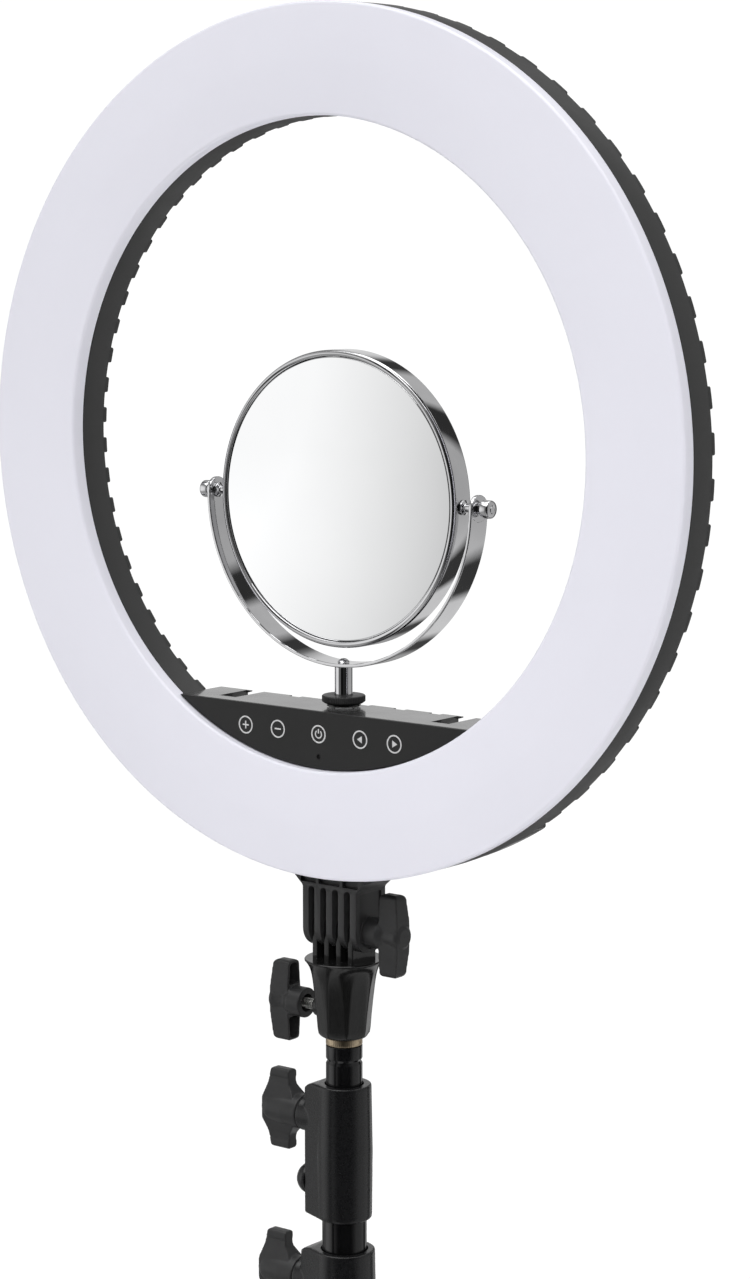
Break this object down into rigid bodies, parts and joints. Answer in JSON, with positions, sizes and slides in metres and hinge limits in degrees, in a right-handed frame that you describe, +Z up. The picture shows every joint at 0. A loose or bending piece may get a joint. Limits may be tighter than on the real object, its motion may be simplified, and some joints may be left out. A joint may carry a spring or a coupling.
{
  "type": "ring light",
  "caption": "Ring light with touch controls and a round swivelling vanity mirror on a telescopic folding tripod stand.",
  "frame": {"origin": "on the floor, at the centre of the box that holds the open stand and the head", "axes": "+Z up; the light faces -Y; +X to the right as seen from in front of the light"},
  "size_m": [0.9106, 0.7916, 1.405],
  "materials": {
    "white_diffuser": "satin translucent white",
    "black_plastic": "fine-textured moulded black",
    "gloss_plastic": "glossy moulded black",
    "touch_panel": "satin black film with pale symbols",
    "gloss_black": "glossy black enamel on tube",
    "satin_black_metal": "satin black paint on die-cast metal",
    "chrome": "bright chrome plate",
    "mirror_glass": "silvered glass",
    "zinc_steel": "bright zinc plate",
    "brass": "dull machined brass",
    "rubber": "matt black rubber",
    "white_circuit": "white solder resist",
    "green_circuit": "green solder resist"
  },
  "bodies": {
    "column": {"outer_tube": "gloss_black", "lower_collar": "satin_black_metal", "lower_rivet": "satin_black_metal", "base_collar": "black_plastic"},
    "lower_lock": {"lower_lock_knob": "black_plastic", "lower_lock_screw": "zinc_steel"},
    "middle_section": {"middle_tube": "gloss_black", "middle_bushing": "black_plastic", "upper_collar": "satin_black_metal", "upper_rivet": "satin_black_metal"},
    "upper_lock": {"upper_lock_knob": "black_plastic", "upper_lock_screw": "zinc_steel"},
    "top_section": {"top_tube": "gloss_black", "top_bushing": "black_plastic", "spigot": "brass"},
    "socket": {"stand_socket": "gloss_plastic"},
    "socket_lock": {"socket_lock_knob": "black_plastic", "socket_lock_screw": "zinc_steel"},
    "head": {"diffuser": "white_diffuser", "ring_tray": "black_plastic", "led_board": "white_circuit", "rear_cover": "black_plastic", "control_box": "black_plastic", "touch_panel": "touch_panel", "touch_board": "green_circuit", "driver_board": "green_circuit", "power_inlet": "black_plastic", "tilt_bracket": "black_plastic", "tilt_nut": "zinc_steel", "mirror_seat": "gloss_plastic"},
    "tilt_lock": {"tilt_lock_knob": "black_plastic", "tilt_lock_screw": "zinc_steel"},
    "mirror_nut": {"mirror_nut": "satin_black_metal"},
    "yoke": {"mirror_post": "chrome", "mirror_yoke": "chrome", "yoke_screw": "chrome"},
    "mirror": {"mirror_frame": "chrome", "mirror_glass_front": "mirror_glass", "mirror_glass_back": "mirror_glass", "pivot_pin_left": "chrome", "pivot_pin_right": "chrome"},
    "leg_slider": {"leg_collar": "black_plastic", "leg_pin_1": "zinc_steel", "leg_pin_2": "zinc_steel", "leg_pin_3": "zinc_steel"},
    "leg_lock": {"leg_lock_knob": "black_plastic", "leg_lock_screw": "zinc_steel"},
    "leg_1_arm": {"leg_1": "gloss_black", "foot_1": "rubber"},
    "brace_1_arm": {"brace_1": "satin_black_metal"},
    "leg_2_arm": {"leg_2": "gloss_black", "foot_2": "rubber"},
    "brace_2_arm": {"brace_2": "satin_black_metal"},
    "leg_3_arm": {"leg_3": "gloss_black", "foot_3": "rubber"},
    "brace_3_arm": {"brace_3": "satin_black_metal"}
  },
  "joints": [
    {"name": "middle_slide", "type": "slide", "parent": "column", "child": "middle_section", "axis": [0, 0, 1], "range_m": [-0.017, 0.5]},
    {"name": "top_slide", "type": "slide", "parent": "middle_section", "child": "top_section", "axis": [0, 0, 1], "range_m": [-0.015, 0.5]},
    {"name": "leg_fold", "type": "slide", "parent": "column", "child": "leg_slider", "axis": [0, 0, 1], "range_m": [0, 0.2672]},
    {"name": "leg_1_hinge", "type": "hinge", "parent": "leg_slider", "child": "leg_1_arm", "pos_m": [0, 0.10062, 0.29], "axis": [1, 0, 0], "range_deg": [0, 56.1]},
    {"name": "brace_1_hinge", "type": "hinge", "parent": "column", "child": "brace_1_arm", "pos_m": [0, 0.10312, 0.07], "axis": [1, 0, 0], "range_deg": [-61.9, 0]},
    {"name": "leg_2_hinge", "type": "hinge", "parent": "leg_slider", "child": "leg_2_arm", "pos_m": [0.02382, 0.14187, 0.29], "axis": [-0.5, 0.866, 0], "range_deg": [0, 56.1]},
    {"name": "brace_2_hinge", "type": "hinge", "parent": "column", "child": "brace_2_arm", "pos_m": [0.02165, 0.14062, 0.07], "axis": [-0.5, 0.866, 0], "range_deg": [-61.9, 0]},
    {"name": "leg_3_hinge", "type": "hinge", "parent": "leg_slider", "child": "leg_3_arm", "pos_m": [-0.02382, 0.14187, 0.29], "axis": [-0.5, -0.866, 0], "range_deg": [0, 56.1]},
    {"name": "brace_3_hinge", "type": "hinge", "parent": "column", "child": "brace_3_arm", "pos_m": [-0.02165, 0.14062, 0.07], "axis": [-0.5, -0.866, 0], "range_deg": [-61.9, 0]},
    {"name": "lower_lock_turn", "type": "hinge", "parent": "column", "child": "lower_lock", "pos_m": [-0.0318, 0.12812, 0.683], "axis": [1, 0, 0], "range_deg": [-360, 90]},
    {"name": "upper_lock_turn", "type": "hinge", "parent": "middle_section", "child": "upper_lock", "pos_m": [-0.0288, 0.12812, 0.78], "axis": [1, 0, 0], "range_deg": [-360, 90]},
    {"name": "leg_lock_turn", "type": "hinge", "parent": "leg_slider", "child": "leg_lock", "pos_m": [-0.0278, 0.12812, 0.324], "axis": [1, 0, 0], "range_deg": [-360, 90]},
    {"name": "socket_lock_turn", "type": "hinge", "parent": "socket", "child": "socket_lock", "pos_m": [-0.027, 0.12812, 0.8445], "axis": [1, 0, 0], "range_deg": [-360, 90]},
    {"name": "tilt_lock_turn", "type": "hinge", "parent": "head", "child": "tilt_lock", "pos_m": [0.0193, 0.12812, 0.8925], "axis": [1, 0, 0], "range_deg": [-90, 360]},
    {"name": "head_swivel", "type": "hinge", "parent": "top_section", "child": "socket", "pos_m": [0, 0.12812, 0.8295], "axis": [0, 0, 1], "continuous": true},
    {"name": "head_tilt", "type": "hinge", "parent": "socket", "child": "head", "pos_m": [0, 0.12812, 0.8925], "axis": [1, 0, 0], "range_deg": [-90, 90]},
    {"name": "mirror_nut_turn", "type": "hinge", "parent": "head", "child": "mirror_nut", "pos_m": [0, 0.12812, 1.026], "axis": [0, 0, 1], "range_deg": [-360, 360]},
    {"name": "mirror_swivel", "type": "hinge", "parent": "head", "child": "yoke", "pos_m": [0, 0.12812, 1.135], "axis": [0, 0, 1], "continuous": true},
    {"name": "mirror_tilt", "type": "hinge", "parent": "yoke", "child": "mirror", "pos_m": [0, 0.12812, 1.135], "axis": [1, 0, 0], "continuous": true}
  ],
  "couplings": [
    {"joint": "leg_1_hinge", "follows": "leg_fold", "rad_per_m": 3.6568},
    {"joint": "brace_1_hinge", "follows": "leg_fold", "rad_per_m": -4.0328},
    {"joint": "leg_2_hinge", "follows": "leg_fold", "rad_per_m": 3.6568},
    {"joint": "brace_2_hinge", "follows": "leg_fold", "rad_per_m": -4.0328},
    {"joint": "leg_3_hinge", "follows": "leg_fold", "rad_per_m": 3.6568},
    {"joint": "brace_3_hinge", "follows": "leg_fold", "rad_per_m": -4.0328}
  ]
}
